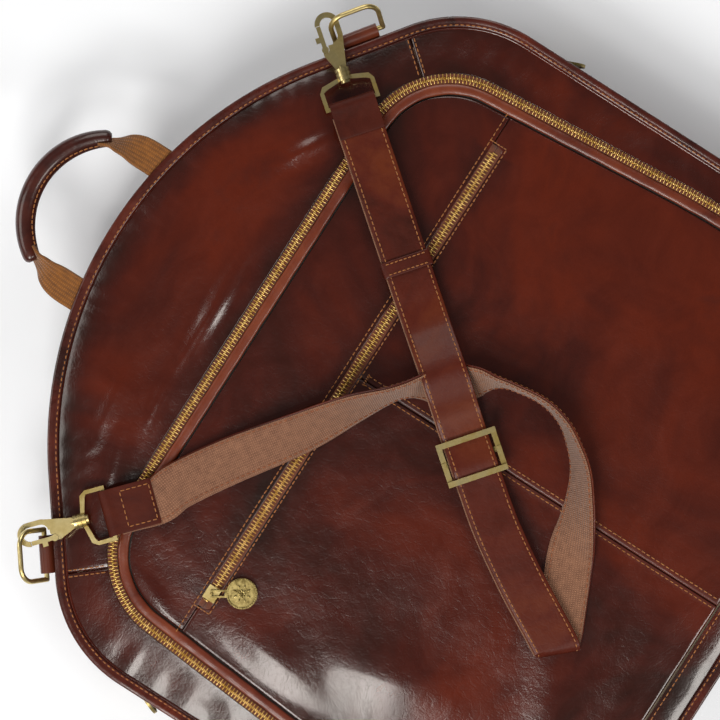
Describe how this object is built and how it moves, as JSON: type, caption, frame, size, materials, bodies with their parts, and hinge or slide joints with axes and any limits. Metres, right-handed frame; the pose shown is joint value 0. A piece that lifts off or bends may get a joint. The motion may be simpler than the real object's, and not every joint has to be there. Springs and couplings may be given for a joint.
{
  "type": "garment bag",
  "caption": "Folding leather garment bag with an arched top, zipped front pockets, side zips, a shoulder strap on snap hooks and a webbing handle.",
  "frame": {"origin": "on the flat back face, on the centre line, level with the front pocket zip", "axes": "+Z out of the front face, +Y up the bag towards the handle, +X to the right seen from the front"},
  "size_m": [0.5854, 0.6315, 0.0973],
  "materials": {
    "leather": "gloss",
    "dark_leather": "gloss",
    "light_leather": "satin",
    "lining_cloth": "matt",
    "board": "matt",
    "gold_teeth": "polished",
    "black_plastic": "satin",
    "canvas": "matt",
    "handle_webbing": "matt",
    "antique_brass": "satin"
  },
  "bodies": {
    "rear_half": {"rear_panel": "leather", "rear_binding": "dark_leather", "rear_gusset": "dark_leather", "rear_stiffener": "board", "rear_lining": "lining_cloth", "rear_zip_tape": "lining_cloth", "rear_zip_teeth": "gold_teeth", "spine": "dark_leather", "hanger_bracket": "antique_brass", "garment_straps": "lining_cloth", "garment_strap_buckles": "black_plastic"},
    "front_half": {"front_top_panel": "leather", "front_left_panel": "leather", "front_right_panel": "leather", "front_bottom_strip": "leather", "pocket_yoke": "leather", "pocket_left_panel": "leather", "pocket_right_panel": "leather", "pocket_backing": "lining_cloth", "big_zip_teeth": "gold_teeth", "big_zip_welt": "light_leather", "pocket_zip_tape": "lining_cloth", "pocket_zip_teeth": "gold_teeth", "front_gusset": "dark_leather", "front_binding": "dark_leather", "front_stiffener": "board", "front_lining": "lining_cloth", "front_zip_tape": "lining_cloth", "front_zip_teeth": "gold_teeth", "ring_loops": "leather", "inner_pocket": "lining_cloth", "inner_zip_teeth": "gold_teeth"},
    "handle": {"handle_webbing": "handle_webbing", "handle_grip": "dark_leather"},
    "strap": {"strap_leather": "leather", "strap_webbing": "canvas", "strap_tab": "dark_leather", "left_hook_bail": "antique_brass", "right_hook_bail": "antique_brass"},
    "hanger_clamp": {"hanger_clamp": "antique_brass"},
    "inner_slider": {"inner_slider": "antique_brass"},
    "inner_puller": {"inner_puller": "antique_brass"},
    "left_ring": {"left_ring": "antique_brass"},
    "right_ring": {"right_ring": "antique_brass"},
    "strap_keeper": {"strap_keeper": "leather"},
    "strap_buckle": {"strap_buckle": "antique_brass"},
    "left_hook": {"left_hook": "antique_brass"},
    "right_hook": {"right_hook": "antique_brass"},
    "left_hook_gate": {"left_hook_gate": "antique_brass"},
    "right_hook_gate": {"right_hook_gate": "antique_brass"},
    "pocket_slider": {"pocket_slider": "antique_brass"},
    "pocket_puller": {"pocket_puller": "antique_brass"},
    "big_slider": {"big_slider": "antique_brass"},
    "big_puller": {"big_puller": "antique_brass"},
    "left_side_slider": {"left_side_slider": "antique_brass"},
    "left_side_puller": {"left_side_puller": "antique_brass"},
    "right_side_slider": {"right_side_slider": "antique_brass"},
    "right_side_puller": {"right_side_puller": "antique_brass"}
  },
  "joints": [
    {"name": "fold", "type": "hinge", "parent": "rear_half", "child": "front_half", "pos_m": [0, -0.349, 0.037], "axis": [1, 0, 0], "range_deg": [0, 180]},
    {"name": "handle_swing", "type": "hinge", "parent": "front_half", "child": "handle", "pos_m": [0, 0.2121, 0.0725], "axis": [1, 0, 0], "range_deg": [-70, 135]},
    {"name": "left_ring_tilt", "type": "hinge", "parent": "front_half", "child": "left_ring", "pos_m": [-0.23218, 0.12144, 0.0725], "axis": [0.8039, 0.5948, 0], "range_deg": [-2, 8]},
    {"name": "right_ring_tilt", "type": "hinge", "parent": "front_half", "child": "right_ring", "pos_m": [0.2169, 0.13274, 0.0725], "axis": [0.8039, -0.5948, 0], "range_deg": [-2, 8]},
    {"name": "strap_lift", "type": "hinge", "parent": "front_half", "child": "strap", "pos_m": [0.20797, 0.15177, 0.08675], "axis": [-0.9993, -0.0344, -0.0142], "range_deg": [0, 30]},
    {"name": "keeper_slide", "type": "slide", "parent": "strap", "child": "strap_keeper", "axis": [0.6267, 0.7792, 0], "range_m": [-0.05, 0.05]},
    {"name": "buckle_slide", "type": "slide", "parent": "strap", "child": "strap_buckle", "axis": [0.6267, 0.7792, 0], "range_m": [0, 0.11]},
    {"name": "left_hook_swivel", "type": "hinge", "parent": "strap", "child": "left_hook", "pos_m": [-0.19677, 0.11279, 0.08065], "axis": [-0.7431, 0.6691, 0], "range_deg": [-8, 10]},
    {"name": "left_gate_open", "type": "hinge", "parent": "left_hook", "child": "left_hook_gate", "pos_m": [-0.21693, 0.12179, 0.08065], "axis": [0, 0, -1], "range_deg": [0, 18], "stiffness_Nm_per_rad": 0.02},
    {"name": "right_hook_swivel", "type": "hinge", "parent": "strap", "child": "right_hook", "pos_m": [0.18502, 0.1266, 0.08675], "axis": [0.6293, 0.7771, 0], "range_deg": [-8, 10]},
    {"name": "right_gate_open", "type": "hinge", "parent": "right_hook", "child": "right_hook_gate", "pos_m": [0.19295, 0.1472, 0.08675], "axis": [0, 0, -1], "range_deg": [0, 18], "stiffness_Nm_per_rad": 0.02},
    {"name": "pocket_slider_travel", "type": "slide", "parent": "front_half", "child": "pocket_slider", "axis": [1, 0, 0], "range_m": [0, 0.38]},
    {"name": "pocket_puller_lift", "type": "hinge", "parent": "pocket_slider", "child": "pocket_puller", "pos_m": [-0.19, 0.002, 0.0776], "axis": [-0.8387, -0.5446, 0], "range_deg": [0, 170]},
    {"name": "big_slider_travel", "type": "slide", "parent": "front_half", "child": "big_slider", "axis": [0, 1, 0], "range_m": [0, 0.14]},
    {"name": "big_puller_lift", "type": "hinge", "parent": "big_slider", "child": "big_puller", "pos_m": [0.2518, -0.298, 0.0776], "axis": [0.866, 0.5, 0], "range_deg": [0, 170]},
    {"name": "left_side_slider_travel", "type": "slide", "parent": "rear_half", "child": "left_side_slider", "axis": [0, -1, 0], "range_m": [0, 0.325]},
    {"name": "left_side_puller_swing", "type": "hinge", "parent": "left_side_slider", "child": "left_side_puller", "pos_m": [-0.2779, 0.02, 0.037], "axis": [0, 0, -1], "range_deg": [-18, 140]},
    {"name": "right_side_slider_travel", "type": "slide", "parent": "rear_half", "child": "right_side_slider", "axis": [0, -1, 0], "range_m": [0, 0.315]},
    {"name": "right_side_puller_swing", "type": "hinge", "parent": "right_side_slider", "child": "right_side_puller", "pos_m": [0.2779, 0.01, 0.037], "axis": [0, 0, 1], "range_deg": [-18, 140]},
    {"name": "inner_slider_travel", "type": "slide", "parent": "front_half", "child": "inner_slider", "axis": [1, 0, 0], "range_m": [0, 0.37]},
    {"name": "inner_puller_drop", "type": "hinge", "parent": "inner_slider", "child": "inner_puller", "pos_m": [-0.185, -0.06, 0.0627], "axis": [0, 1, 0], "range_deg": [0, 120]},
    {"name": "hanger_clamp_open", "type": "hinge", "parent": "rear_half", "child": "hanger_clamp", "pos_m": [0, 0.158, 0.012], "axis": [-1, 0, 0], "range_deg": [0, 100]}
  ]
}
